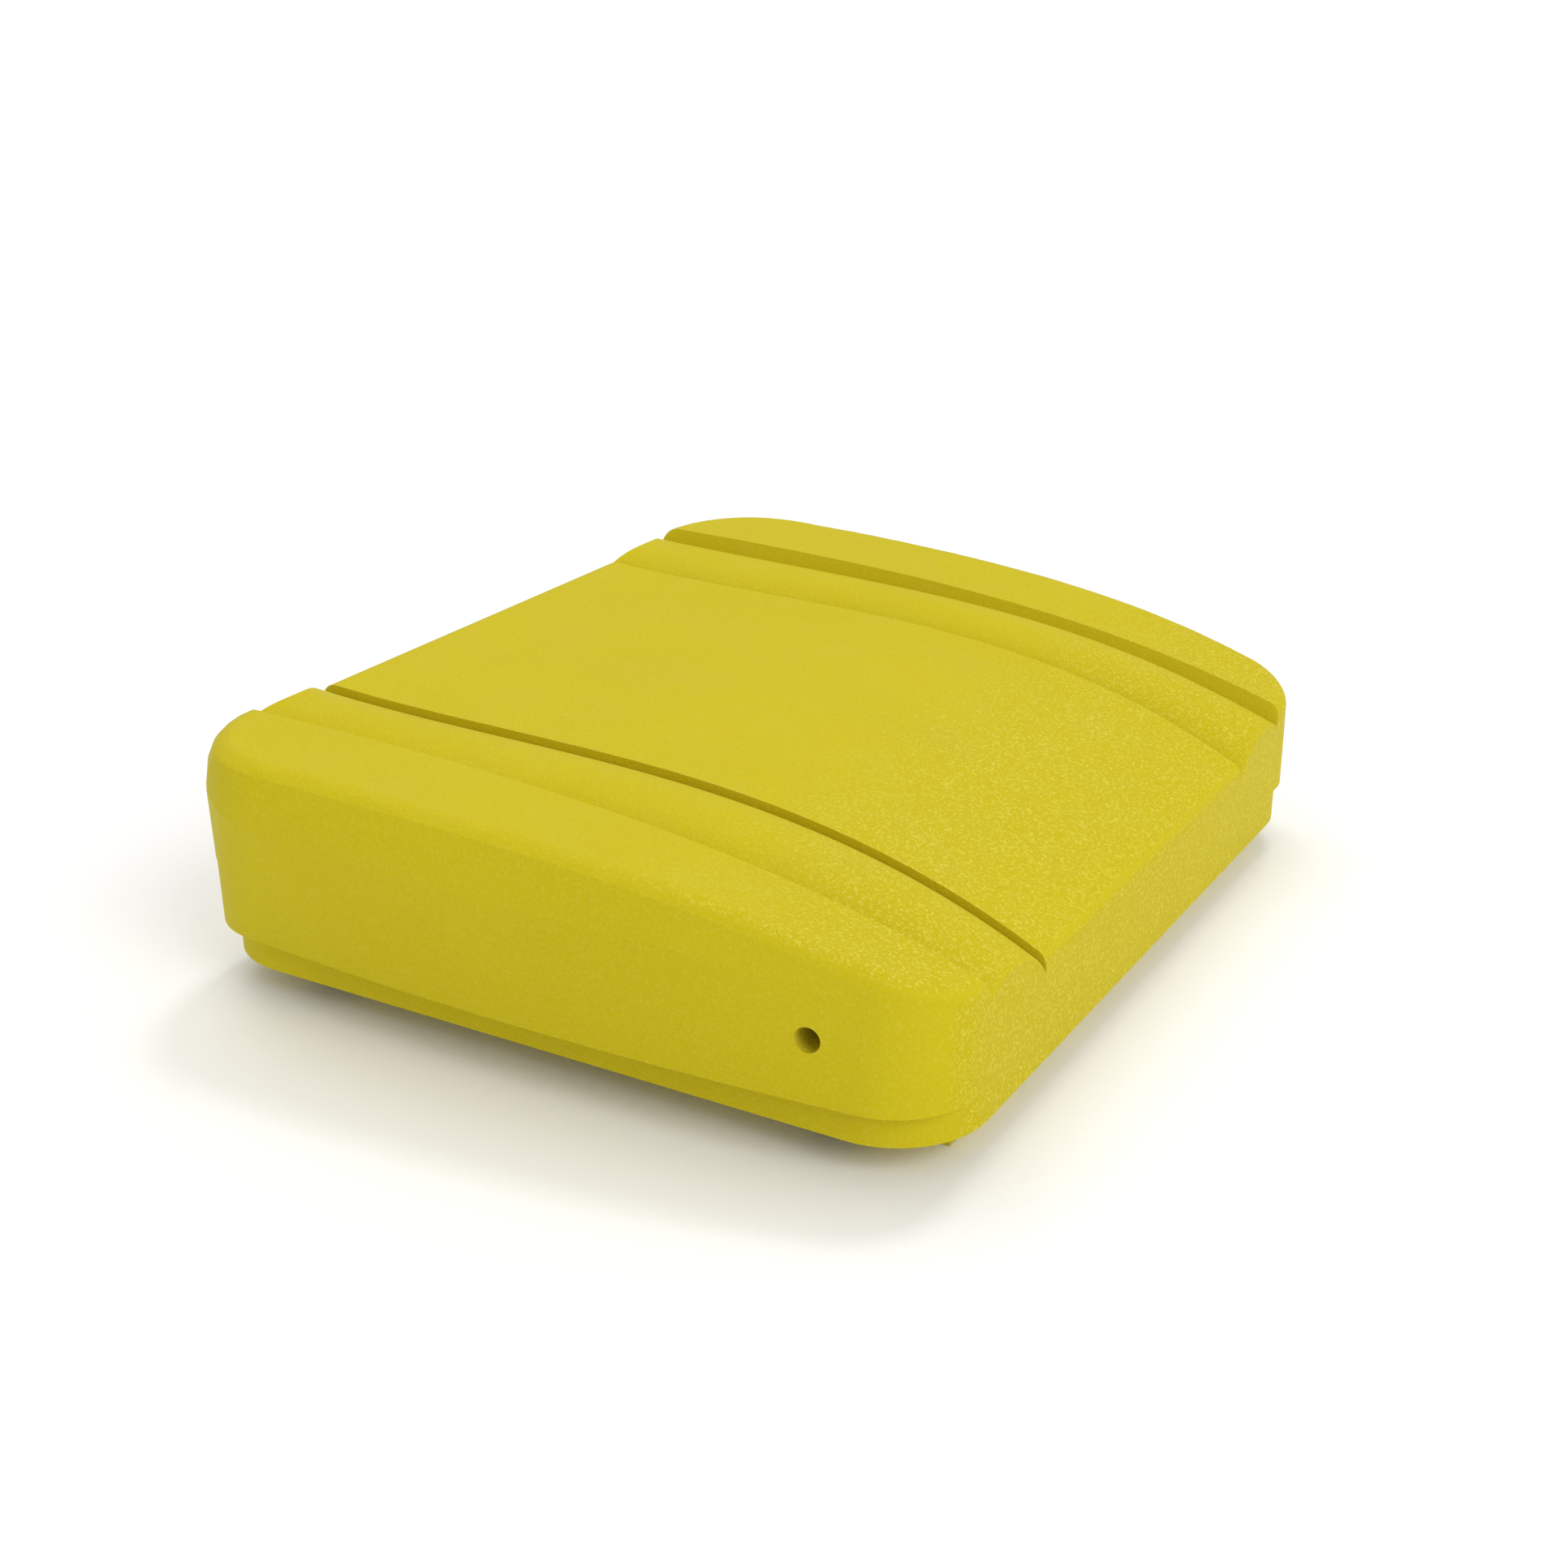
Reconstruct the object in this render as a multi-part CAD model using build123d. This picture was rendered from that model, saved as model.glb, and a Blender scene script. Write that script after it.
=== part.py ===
from build123d import *
import os

# Tip-forward moulded seat of a pedal boat.  Millimetres, +Z up.
# +X is the low front edge that hangs over the footwell, -X is the high rear.
# Z = 0 is the underside of the locating frame; X and Y are centred on the body.

# ---- overall form ----
BODY_LENGTH = 408.0          # rear overhang to front face
BODY_WIDTH = 490.0           # widest, at the middle of the bowed sides
SIDE_BOW = 11.0              # how far each side bulges beyond its corners
BODY_CORNER = 40.0           # plan radius of the upper body's corners, at its lower lip
SIDE_FLARE = (22.0, 13.0, -6.0)  # how far the sides lean out by panel height: rear, middle, front
REAR_TOP_CORNER = 70.0       # plan radius of the rear corners at panel height
FORM_HEIGHT = 103.2          # panel height above the plinth's underside, amidships
WALL = 5.0                   # moulded wall thickness

# ---- top surface, as rises above the panel's middle height ----
# five stations, evenly spaced from rear to front
PANEL_RISE = (6.8, 2.7, 0.0, -13.0, -49.8)
CREST_RISE = (12.3, 7.8, 5.0, -6.7, -40.2)
BAND_RISE = (13.2, 10.8, 4.7, -8.6, -34.7)
BAND_CROWN = (1.0, 1.5, 2.5, 4.5, 4.5)   # how far the band rises on its way out
PANEL_WIDTH = 258.8          # flat middle panel
BEAD_WIDTH = 62.0            # panel's edge to the outer band's edge
CREST_OFFSET = 25.5          # bead's crest from the panel's edge
INNER_GROOVE = 6.6           # depth of the groove below the panel
OUTER_DIP = 11.8             # depth of the bead's end below the outer band's edge
BAND_LEAN = 0.37             # the band's wall leans out by this much per unit of height
RIM_RADIUS = 38.0            # roll from the outer band down into the walls
RIM_CUT = (15.0, 15.0, 15.0, 20.0, 26.0)  # how far the band cuts below the roll's own top
CREASE_FILLET = 9.0          # where the band's flat meets the roll
PANEL_END_FILLET = 8.0
BEAD_FRONT_FILLET = 2.0
BEAD_REAR_RADIUS = 18.0
CUT_MARGIN = 1.0             # by which a cutting block clears what it leaves alone
TOUCHING = 0.01              # nearer than this counts as touching

# ---- plinth, the stepped-in skirt ----
PLINTH_HEIGHT = 18.0
PLINTH_STEP = 14.0           # under the body's widest part
PLINTH_CORNER = 45.0
REAR_OVERHANG = 1.0

# ---- locating frame under the base ----
FRAME_DEPTH = 16.0
FRAME_BAR = 20.0
FRAME_SETBACK_FRONT = 16.0   # from the front face
FRAME_SETBACK_REAR = 30.0    # from the plinth's rear
FRAME_SETBACK_SIDE = 42.0    # from the plinth's side

# ---- base panel and its fixings ----
BASE_THICKNESS = 6.0
BASE_GAP = 0.3               # round the panel, inside the skirt
POST_DIAMETER = 14.0
POST_SETBACK = 13.0          # post centre from the skirt's inner face
POSTS_PER_SIDE = 4
POSTS_PER_END = 2
SCREW_DIAMETER = 5.0
SCREW_HEAD = 10.0
SCREW_HEAD_HEIGHT = 2.5
SCREW_GRIP = 12.0            # length beyond the clamped piece
SCREW_KEY = 3.0              # hexagon socket, across flats
SCREW_KEY_DEPTH = 2.0
INSERT_DIAMETER = 8.0
INSERT_LENGTH = 12.0
FRAME_SCREWS_PER_BAR = 3
FIT_GAP = 0.05               # running fits and screws in their holes

# ---- hinge pins ----
PIN_DIAMETER = 12.0          # bore in the side wall
PIN_FROM_FRONT = 59.0        # axis behind the front face
PIN_HEIGHT = 48.0            # axis above the plinth's underside
PIN_LENGTH = 120.0
PIN_WITHDRAWN = 28.0         # tip inside the widest wall when drawn back
PIN_TRAVEL = 42.0
PIN_CHAMFER = 1.5
BORE_BOSS_DIAMETER = 26.0
BORE_BOSS_LENGTH = 24.0
GUIDE_WIDTH = 30.0
GUIDE_CAP = 8.0              # guide material above the bore
GUIDE_END = 7.0              # guide material behind the pin's inner end
KNOB_SHANK = 8.0
KNOB_STUD = 6.0
KNOB_HEAD = 18.0
KNOB_HEAD_HEIGHT = 8.0
KNOB_FROM_END = 13.0         # knob's axis from the pin's inner end
KNOB_CLEARANCE = 3.0         # knob's head below the base panel
SLOT_GAP = 0.5               # round the knob's shank
RING_SECTION = 2.6           # rubber friction ring
RING_SETBACK = 8.0           # from the guide's outer end

# ---- small parts ----
BUFFER_DIAMETER = 24.0
BUFFER_HEIGHT = 4.0
BUFFER_STEM = 8.0
BUFFER_INSET = 24.0          # buffer's centre from the plinth's side
BUFFER_FROM_END = 62.0       # and from the plinth's ends
VENT_BORE = 16.0
VENT_FLANGE = 26.0
VENT_FLANGE_HEIGHT = 4.0
VENT_WASHER_HEIGHT = 1.5
VENT_KEY = 8.0               # hexagon socket, across flats
FOAM_GAP = 0.3

# ---- worked-out places ----
FRONT = BODY_LENGTH / 2
REAR = -BODY_LENGTH / 2
PLINTH_REAR = REAR + REAR_OVERHANG
PLINTH_WIDTH = BODY_WIDTH - 2 * PLINTH_STEP
SOLE = FRAME_DEPTH                       # plinth's underside
LIP = SOLE + PLINTH_HEIGHT               # underside of the overhang
BASE_TOP = SOLE + BASE_THICKNESS
PANEL_EDGE = PANEL_WIDTH / 2
BAND_EDGE = PANEL_EDGE + BEAD_WIDTH
PIN_X = FRONT - PIN_FROM_FRONT
PIN_Z = SOLE + PIN_HEIGHT
PIN_TIP = BODY_WIDTH / 2 - PIN_WITHDRAWN
PIN_TAIL = PIN_TIP - PIN_LENGTH
GUIDE_TAIL = PIN_TAIL - GUIDE_END
GUIDE_HEAD = BODY_WIDTH / 2 - BORE_BOSS_LENGTH - WALL
KNOB_Y = PIN_TAIL + KNOB_FROM_END
SIDES = {"left": 1, "right": -1}
STANDING = (Align.CENTER, Align.CENTER, Align.MIN)


def body_outline(inset, flare, rear_corner):
    """Plan of the upper body: flat ends, bowed sides, round corners."""
    x = FRONT - inset
    straight = BODY_WIDTH / 2 - inset
    y_rear = straight - SIDE_BOW + flare[0]
    y_mid = straight + flare[1]
    y_front = straight - SIDE_BOW + flare[2]
    left = ThreePointArc((x, y_front), (0, y_mid), (-x, y_rear))
    right = ThreePointArc((-x, -y_rear), (0, -y_mid), (x, -y_front))
    face = make_face([left, Line(left @ 1, right @ 0), right, Line(right @ 1, left @ 0)])
    face = fillet(face.vertices().sort_by(Axis.X)[:2], rear_corner - inset)
    front_ends = face.vertices().group_by(Axis.X)[-1]
    return fillet(front_ends, BODY_CORNER - inset)


def leaning_body(inset):
    """The upper body's walls, from the lip to well above the top surface."""
    rise = FORM_HEIGHT - PLINTH_HEIGHT
    flare = [2 * f for f in SIDE_FLARE]
    corner = BODY_CORNER + 2 * (REAR_TOP_CORNER - BODY_CORNER)
    low = Pos(0, 0, LIP) * body_outline(inset, (0, 0, 0), BODY_CORNER)
    high = Pos(0, 0, LIP + 2 * rise) * body_outline(inset, flare, corner)
    return loft([low, high], ruled=True)


def plinth_outline(inset):
    """Plan of the plinth: straight sides, flush with the body in front."""
    length = FRONT - PLINTH_REAR - 2 * inset
    middle = (FRONT + PLINTH_REAR) / 2
    plan = RectangleRounded(length, PLINTH_WIDTH - 2 * inset, PLINTH_CORNER - inset)
    return Pos(middle, 0) * plan


def prism(face, bottom, top):
    """Upright block of a plan between two heights."""
    return extrude(Pos(0, 0, bottom) * face, top - bottom)


def stations():
    """Places along X and the heights of panel, crest and band at each."""
    count = len(PANEL_RISE)
    middle = SOLE + FORM_HEIGHT
    for i in range(count):
        x = REAR + BODY_LENGTH * i / (count - 1)
        yield x, middle + PANEL_RISE[i], middle + CREST_RISE[i], middle + BAND_RISE[i]


def section(x, points):
    """Face across the body at x from (y, z) edges given as a wire."""
    return Plane(origin=(x, 0, 0), x_dir=(0, 1, 0), z_dir=(1, 0, 0)) * make_face(points)


def end_edge(edge, end):
    """True for the edge where the top meets the front or rear face."""
    box = edge.bounding_box()
    at_end = abs(box.min.X - end) < TOUCHING and abs(box.max.X - end) < TOUCHING
    return at_end and box.min.Z > LIP + CUT_MARGIN and box.size.Y > BEAD_WIDTH / 2


def round_end(block, end, radius):
    """Round the top's front or rear edge."""
    return fillet([e for e in block.edges() if end_edge(e, end)], radius)


def panel_block(inset):
    """Flat middle panel between the two beads."""
    faces = []
    y = PANEL_EDGE - inset
    for x, panel, _, _ in stations():
        corners = [(-y, LIP), (y, LIP), (y, panel - inset), (-y, panel - inset)]
        faces.append(section(x, Polyline(*corners, close=True)))
    return loft(faces) & leaning_body(inset)


def bead_block(inset):
    """Half-round bead on the +Y side, from the panel's wall to under the band's edge."""
    faces = []
    y_inner = PANEL_EDGE - inset
    y_crest = PANEL_EDGE + CREST_OFFSET
    y_outer = BAND_EDGE + inset
    for x, panel, crest, band in stations():
        inner = (y_inner, panel - INNER_GROOVE - inset)
        outer = (y_outer, band - OUTER_DIP - inset)
        edges = [
            Line((y_inner, LIP), inner),
            ThreePointArc(inner, (y_crest, crest - inset), outer),
            Line(outer, (y_outer, LIP)),
            Line((y_outer, LIP), (y_inner, LIP)),
        ]
        faces.append(section(x, edges))
    return loft(faces) & leaning_body(inset) & rear_profile(inset)


def rear_profile(inset):
    """Side profile that rounds the beads' rear ends over."""
    top = SOLE + FORM_HEIGHT + CREST_RISE[0] + CUT_MARGIN - inset
    profile = Box(BODY_LENGTH - 2 * inset, 2 * BODY_WIDTH, top, align=STANDING)
    rear_edge = profile.edges().filter_by(Axis.Y).group_by(Axis.Z)[-1].sort_by(Axis.X)[0]
    return fillet(rear_edge, BEAD_REAR_RADIUS - inset)


def band_surface(inset, raised):
    """Block under the outer band's flat, or under the same flat raised for the roll."""
    faces = []
    y_in = BAND_EDGE - BODY_CORNER
    y_out = BODY_WIDTH / 2 + 2 * SIDE_FLARE[0]
    for i, (x, _, _, band) in enumerate(stations()):
        slope = BAND_CROWN[i] / (BODY_WIDTH / 2 - BAND_EDGE)
        height = band - inset + (RIM_CUT[i] if raised else 0)
        z_in = height + slope * (y_in - BAND_EDGE)
        z_out = height + slope * (y_out - BAND_EDGE)
        corners = [(y_in, LIP), (y_out, LIP), (y_out, z_out), (y_in, z_in)]
        faces.append(section(x, Polyline(*corners, close=True)))
    return loft(faces)


def band_wall(inset):
    """What is cut away inside the outer band, to leave its leaning wall."""
    faces = []
    y_band = BAND_EDGE + inset
    y_in = BAND_EDGE - BODY_CORNER - CUT_MARGIN
    for x, _, _, band in stations():
        low = LIP - CUT_MARGIN
        high = band + RIM_RADIUS
        y_low = y_band - BAND_LEAN * (band - inset - low)
        y_high = y_band + BAND_LEAN * (high - band + inset)
        corners = [(y_in, low), (y_low, low), (y_high, high), (y_in, high)]
        faces.append(section(x, Polyline(*corners, close=True)))
    return loft(faces)


def band_block(inset):
    """Outer band on the +Y side: a large roll into the walls, cut by the band's flat."""
    block = leaning_body(inset) & band_surface(inset, True)
    roof = block.faces().sort_by(Axis.Z)[-1]
    rim = [e for e in roof.edges() if e.center().Y > BAND_EDGE - BODY_CORNER + CUT_MARGIN]
    block = fillet(rim, RIM_RADIUS - inset) & band_surface(inset, False)
    return block - band_wall(inset)


def softened(band):
    """The band with the crease along its roll rounded over."""
    flat = band.faces().sort_by(Axis.Z)[-1]
    crease = [e for e in flat.edges() if abs(e.center().Y - BAND_EDGE) > CUT_MARGIN]
    return fillet(crease, CREASE_FILLET)


def joined(panel, bead, band):
    """Whole upper body from its middle and the bead and band of one side."""
    half = bead + band
    return panel + half + mirror(half, Plane.XZ)


def form(inset):
    """Upper body drawn in by an inset, without its small roundings."""
    return joined(panel_block(inset), bead_block(inset), band_block(inset))


def outer_form():
    """Upper body as seen, with the panel's and the beads' ends rounded."""
    panel = round_end(panel_block(0), FRONT, PANEL_END_FILLET)
    panel = round_end(panel, REAR, PANEL_END_FILLET)
    bead = round_end(bead_block(0), FRONT, BEAD_FRONT_FILLET)
    return joined(panel, bead, softened(band_block(0)))


def cavity(inset, bottom):
    """Space inside the moulding, open down through the plinth."""
    above = Box(2 * BODY_LENGTH, 2 * BODY_WIDTH, 4 * FORM_HEIGHT, align=STANDING)
    upper = form(inset) & (Pos(0, 0, LIP + inset) * above)
    return upper + prism(plinth_outline(inset), bottom, LIP + inset)


def spread(first, last, count):
    """Evenly spaced places from first to last."""
    return [first + (last - first) * i / (count - 1) for i in range(count)]


# ---- places of the fixings ----
FRAME_FRONT = FRONT - FRAME_SETBACK_FRONT
FRAME_REAR = PLINTH_REAR + FRAME_SETBACK_REAR
FRAME_SIDE = PLINTH_WIDTH / 2 - FRAME_SETBACK_SIDE
POST_Y = PLINTH_WIDTH / 2 - WALL - POST_SETBACK
POST_X_REAR = PLINTH_REAR + WALL + 2 * POST_SETBACK
POST_X_FRONT = PIN_X - GUIDE_WIDTH / 2 - POST_DIAMETER
END_POST_Y = GUIDE_TAIL - 2 * POST_DIAMETER
END_POST_FRONT = FRAME_FRONT - FRAME_BAR - SCREW_HEAD
END_POST_REAR = FRAME_REAR + FRAME_BAR + SCREW_HEAD
BUFFER_Y = PLINTH_WIDTH / 2 - BUFFER_INSET
BUFFER_PLACES = {
    "front_left": (FRONT - BUFFER_FROM_END, BUFFER_Y),
    "front_right": (FRONT - BUFFER_FROM_END, -BUFFER_Y),
    "rear_left": (PLINTH_REAR + BUFFER_FROM_END, BUFFER_Y),
    "rear_right": (PLINTH_REAR + BUFFER_FROM_END, -BUFFER_Y),
}


def post_places():
    """Screw posts: a row along each side and a few at each end."""
    rows = spread(POST_X_REAR, POST_X_FRONT, POSTS_PER_SIDE)
    columns = spread(-END_POST_Y, END_POST_Y, POSTS_PER_END)
    side = [(x, s * POST_Y) for x in rows for s in (1, -1)]
    ends = [(x, y) for x in (END_POST_REAR, END_POST_FRONT) for y in columns]
    return side + ends


def guide_screw_places(s):
    """Two pairs of screws, either side of the knob's slot."""
    x_off = (KNOB_SHANK / 2 + SLOT_GAP + GUIDE_WIDTH / 2) / 2
    y_near = KNOB_Y - KNOB_FROM_END
    y_far = FRAME_SIDE - FRAME_BAR - SCREW_HEAD / 2 - 1
    return [(PIN_X + k * x_off, s * y) for k in (1, -1) for y in (y_near, y_far)]


def frame_screw_places():
    """Screws along the middle of each bar of the locating frame."""
    y_side = FRAME_SIDE - FRAME_BAR / 2
    x_rear = FRAME_REAR + 2 * FRAME_BAR
    x_front = FRAME_FRONT - 2 * FRAME_BAR
    along = spread(x_rear, x_front, FRAME_SCREWS_PER_BAR)
    places = [(x, s * y_side) for x in along for s in (1, -1)]
    y_end = FRAME_SIDE - 2 * FRAME_BAR
    for x in (FRAME_REAR + FRAME_BAR / 2, FRAME_FRONT - FRAME_BAR / 2):
        places += [(x, y) for y in spread(-y_end, y_end, FRAME_SCREWS_PER_BAR)]
    return places


def rod(radius, x, y, bottom, top):
    """Upright cylinder."""
    return Pos(x, y, bottom) * Cylinder(radius, top - bottom, align=STANDING)


def cross_rod(radius, y_from, y_to):
    """Cylinder on the hinge axis, along Y."""
    length = abs(y_to - y_from)
    middle = (y_from + y_to) / 2
    return Pos(PIN_X, middle, PIN_Z) * Rot(90, 0, 0) * Cylinder(radius, length)


def screw(x, y, bottom, length, gap=0.0):
    """Countersunk screw pointing up, or its hole when a gap is given."""
    shank = SCREW_DIAMETER / 2 + gap
    head = SCREW_HEAD / 2 + gap
    cone = Cone(head, shank, SCREW_HEAD_HEIGHT, align=STANDING)
    return Pos(x, y, bottom) * cone + rod(shank, x, y, bottom + SCREW_HEAD_HEIGHT / 2, bottom + length)


def seat_shell():
    """One moulding: top, walls, plinth skirt, screw posts and hinge bosses."""
    outer = outer_form() + prism(plinth_outline(0), SOLE, LIP)
    shell = outer - cavity(WALL, SOLE)
    tall = SOLE + 2 * FORM_HEIGHT
    for x, y in post_places():
        shell += rod(POST_DIAMETER / 2, x, y, BASE_TOP, tall) & outer
    for s in SIDES.values():
        shell += cross_rod(BORE_BOSS_DIAMETER / 2, s * GUIDE_HEAD, s * BODY_WIDTH) & outer
    for s in SIDES.values():
        shell -= cross_rod(PIN_DIAMETER / 2, s * (GUIDE_HEAD - WALL), s * BODY_WIDTH)
    for x, y in post_places():
        shell -= rod(INSERT_DIAMETER / 2 + FIT_GAP, x, y, SOLE, BASE_TOP + INSERT_LENGTH + 1)
    return shell


def knob_slot(s, bottom, top):
    """Slot that the knob's shank runs in, open from below."""
    radius = KNOB_SHANK / 2 + SLOT_GAP
    travel = Pos(PIN_X, s * (KNOB_Y + PIN_TRAVEL / 2), bottom)
    plan = Rot(0, 0, 90) * SlotCenterToCenter(PIN_TRAVEL, 2 * radius)
    return extrude(travel * plan, top - bottom)


def base_panel():
    """Sheet that closes the plinth from below, with all its holes."""
    panel = prism(plinth_outline(WALL + BASE_GAP), SOLE, BASE_TOP)
    for x, y in post_places():
        panel -= screw(x, y, SOLE, 2 * BASE_THICKNESS, FIT_GAP)
    for s in SIDES.values():
        for x, y in guide_screw_places(s):
            panel -= screw(x, y, SOLE, 2 * BASE_THICKNESS, FIT_GAP)
        panel -= knob_slot(s, 0, 2 * BASE_TOP)
    for x, y in frame_screw_places():
        panel -= rod(SCREW_DIAMETER / 2 + FIT_GAP, x, y, 0, 2 * BASE_TOP)
    for x, y in BUFFER_PLACES.values():
        panel -= rod(BUFFER_STEM / 2 + FIT_GAP, x, y, 0, 2 * BASE_TOP)
    return panel - rod(VENT_BORE / 2 + FIT_GAP, 0, 0, 0, 2 * BASE_TOP)


def frame_bars():
    """Four square-cornered bars butted into a rectangle under the base."""
    middle = (FRAME_FRONT + FRAME_REAR) / 2
    length = FRAME_FRONT - FRAME_REAR
    across = Box(FRAME_BAR, 2 * FRAME_SIDE, FRAME_DEPTH, align=STANDING)
    along = Box(length - 2 * FRAME_BAR, FRAME_BAR, FRAME_DEPTH, align=STANDING)
    bars = {
        "frame_bar_front": Pos(FRAME_FRONT - FRAME_BAR / 2, 0) * across,
        "frame_bar_rear": Pos(FRAME_REAR + FRAME_BAR / 2, 0) * across,
        "frame_bar_left": Pos(middle, FRAME_SIDE - FRAME_BAR / 2) * along,
        "frame_bar_right": Pos(middle, FRAME_BAR / 2 - FRAME_SIDE) * along,
    }
    for x, y in frame_screw_places():
        hole = screw(x, y, 0, 2 * FRAME_DEPTH, FIT_GAP)
        for name in bars:
            if (bars[name] & Pos(x, y, FRAME_DEPTH / 2) * Sphere(1)).volume > 0:
                bars[name] -= hole
    return bars


def pin_guide(s):
    """Block on the base panel that carries one sliding hinge pin."""
    length = GUIDE_HEAD - GUIDE_TAIL
    height = PIN_Z + PIN_DIAMETER / 2 + GUIDE_CAP - BASE_TOP
    block = Box(GUIDE_WIDTH, length, height, align=STANDING)
    block = chamfer(block.edges().group_by(Axis.Z)[-1], 2)
    guide = Pos(PIN_X, s * (GUIDE_HEAD + GUIDE_TAIL) / 2, BASE_TOP) * block
    guide -= cross_rod(PIN_DIAMETER / 2, s * (PIN_TAIL - SLOT_GAP), s * BODY_WIDTH)
    ring_y = GUIDE_HEAD - RING_SETBACK
    groove = RING_SECTION / 2 + FIT_GAP
    groove_radius = PIN_DIAMETER / 2 + RING_SECTION + FIT_GAP
    guide -= cross_rod(groove_radius, s * (ring_y - groove), s * (ring_y + groove))
    guide -= knob_slot(s, 0, PIN_Z)
    for x, y in guide_screw_places(s):
        guide -= rod(SCREW_DIAMETER / 2 + FIT_GAP, x, y, 0, BASE_TOP + SCREW_GRIP + 1)
    return guide


def hinge_pin(s):
    """Plain pin with a chamfered tip and a hole for its knob's stud."""
    bar = Rot(-90 * s, 0, 0) * Cylinder(PIN_DIAMETER / 2 - FIT_GAP, PIN_LENGTH)
    bar = chamfer(bar.edges().sort_by(Axis.Y)[-1 if s > 0 else 0], PIN_CHAMFER)
    pin = Pos(PIN_X, s * (PIN_TIP + PIN_TAIL) / 2, PIN_Z) * bar
    return pin - rod(KNOB_STUD / 2 + FIT_GAP, PIN_X, s * KNOB_Y, 0, PIN_Z)


def pin_knob(s):
    """Thumb knob below the base panel, screwed into the pin."""
    head_top = SOLE - KNOB_CLEARANCE
    head = rod(KNOB_HEAD / 2, PIN_X, s * KNOB_Y, head_top - KNOB_HEAD_HEIGHT, head_top)
    head = chamfer(head.edges().group_by(Axis.Z)[0] + head.edges().group_by(Axis.Z)[-1], 1)
    shank_top = PIN_Z - PIN_DIAMETER / 2
    shank = rod(KNOB_SHANK / 2, PIN_X, s * KNOB_Y, head_top - 1, shank_top)
    stud = rod(KNOB_STUD / 2, PIN_X, s * KNOB_Y, shank_top - 1, PIN_Z - FIT_GAP)
    return head + shank + stud


def pin_ring(s):
    """Rubber ring in the guide that grips the pin and keeps spray out."""
    ring = Torus(PIN_DIAMETER / 2 + RING_SECTION / 2, RING_SECTION / 2)
    return Pos(PIN_X, s * (GUIDE_HEAD - RING_SETBACK), PIN_Z) * Rot(90, 0, 0) * ring


def foam_core(shell):
    """Closed-cell foam that fills the moulding round posts and guides."""
    core = cavity(WALL + FOAM_GAP, BASE_TOP + FOAM_GAP) - shell
    tall = SOLE + 2 * FORM_HEIGHT
    for x, y in post_places():
        core -= rod(POST_DIAMETER / 2 + FOAM_GAP, x, y, 0, tall)
    width = GUIDE_WIDTH + 2 * FOAM_GAP
    tail = GUIDE_TAIL - FOAM_GAP
    height = PIN_Z + PIN_DIAMETER / 2 + GUIDE_CAP + FOAM_GAP
    pocket = Box(width, BODY_WIDTH - tail, height, align=(Align.CENTER, Align.MIN, Align.MIN))
    for turn, s in ((0, 1), (180, -1)):
        core -= Pos(PIN_X, s * tail, 0) * Rot(0, 0, turn) * pocket
    return core


def rest_buffer(x, y):
    """Rubber buffer under the base, held by its stem."""
    pad = rod(BUFFER_DIAMETER / 2, x, y, SOLE - BUFFER_HEIGHT, SOLE)
    pad = chamfer(pad.edges().group_by(Axis.Z)[0], 1)
    return pad + rod(BUFFER_STEM / 2, x, y, SOLE - 1, BASE_TOP)


def base_inserts():
    """Threaded inserts moulded into the posts, as one group."""
    ring = Cylinder(INSERT_DIAMETER / 2, INSERT_LENGTH, align=STANDING)
    ring -= Cylinder(SCREW_DIAMETER / 2 + FIT_GAP, 3 * INSERT_LENGTH)
    return Compound(children=[Pos(x, y, BASE_TOP) * ring for x, y in post_places()])


def screws(places, bottom, length):
    """Countersunk socket screws, all alike, as one group."""
    key = extrude(RegularPolygon(SCREW_KEY / 2, 6, major_radius=False), SCREW_KEY_DEPTH)
    return Compound(children=[screw(x, y, bottom, length) - Pos(x, y, bottom) * key for x, y in places])


def vent_plug():
    """Screwed plug that lets the moulding breathe and drain."""
    top = SOLE - VENT_WASHER_HEIGHT
    bottom = top - VENT_FLANGE_HEIGHT
    plug = chamfer(rod(VENT_FLANGE / 2, 0, 0, bottom, top).edges().group_by(Axis.Z)[0], 1)
    plug += rod(VENT_BORE / 2, 0, 0, top - 1, BASE_TOP)
    key = RegularPolygon(VENT_KEY / 2, 6, major_radius=False)
    return plug - extrude(Pos(0, 0, bottom) * key, VENT_FLANGE_HEIGHT + 1)


def vent_washer():
    """Sealing washer under the vent plug's flange."""
    ring = rod(VENT_FLANGE / 2 - 1, 0, 0, SOLE - VENT_WASHER_HEIGHT, SOLE)
    return ring - rod(VENT_BORE / 2 + FIT_GAP, 0, 0, 0, 2 * SOLE)


def assembly():
    """Every piece of the seat by the name of its node."""
    shell = seat_shell()
    parts = {"seat_shell": shell, "base_panel": base_panel(), "foam_core": foam_core(shell)}
    parts.update(frame_bars())
    for side, s in SIDES.items():
        parts[f"pin_guide_{side}"] = pin_guide(s)
        parts[f"hinge_pin_{side}"] = hinge_pin(s)
        parts[f"pin_knob_{side}"] = pin_knob(s)
        parts[f"pin_ring_{side}"] = pin_ring(s)
    for name, (x, y) in BUFFER_PLACES.items():
        parts[f"rest_buffer_{name}"] = rest_buffer(x, y)
    guide_places = [p for s in SIDES.values() for p in guide_screw_places(s)]
    parts["base_inserts"] = base_inserts()
    parts["base_screws"] = screws(post_places(), SOLE, BASE_THICKNESS + SCREW_GRIP)
    parts["guide_screws"] = screws(guide_places, SOLE, BASE_THICKNESS + SCREW_GRIP)
    parts["frame_screws"] = screws(frame_screw_places(), 0, BASE_TOP)
    parts["vent_plug"] = vent_plug()
    parts["vent_washer"] = vent_washer()
    return parts


os.makedirs("parts", exist_ok=True)
for name, solid in assembly().items():
    export_step(solid, f"parts/{name}.step")
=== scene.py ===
import math

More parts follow.
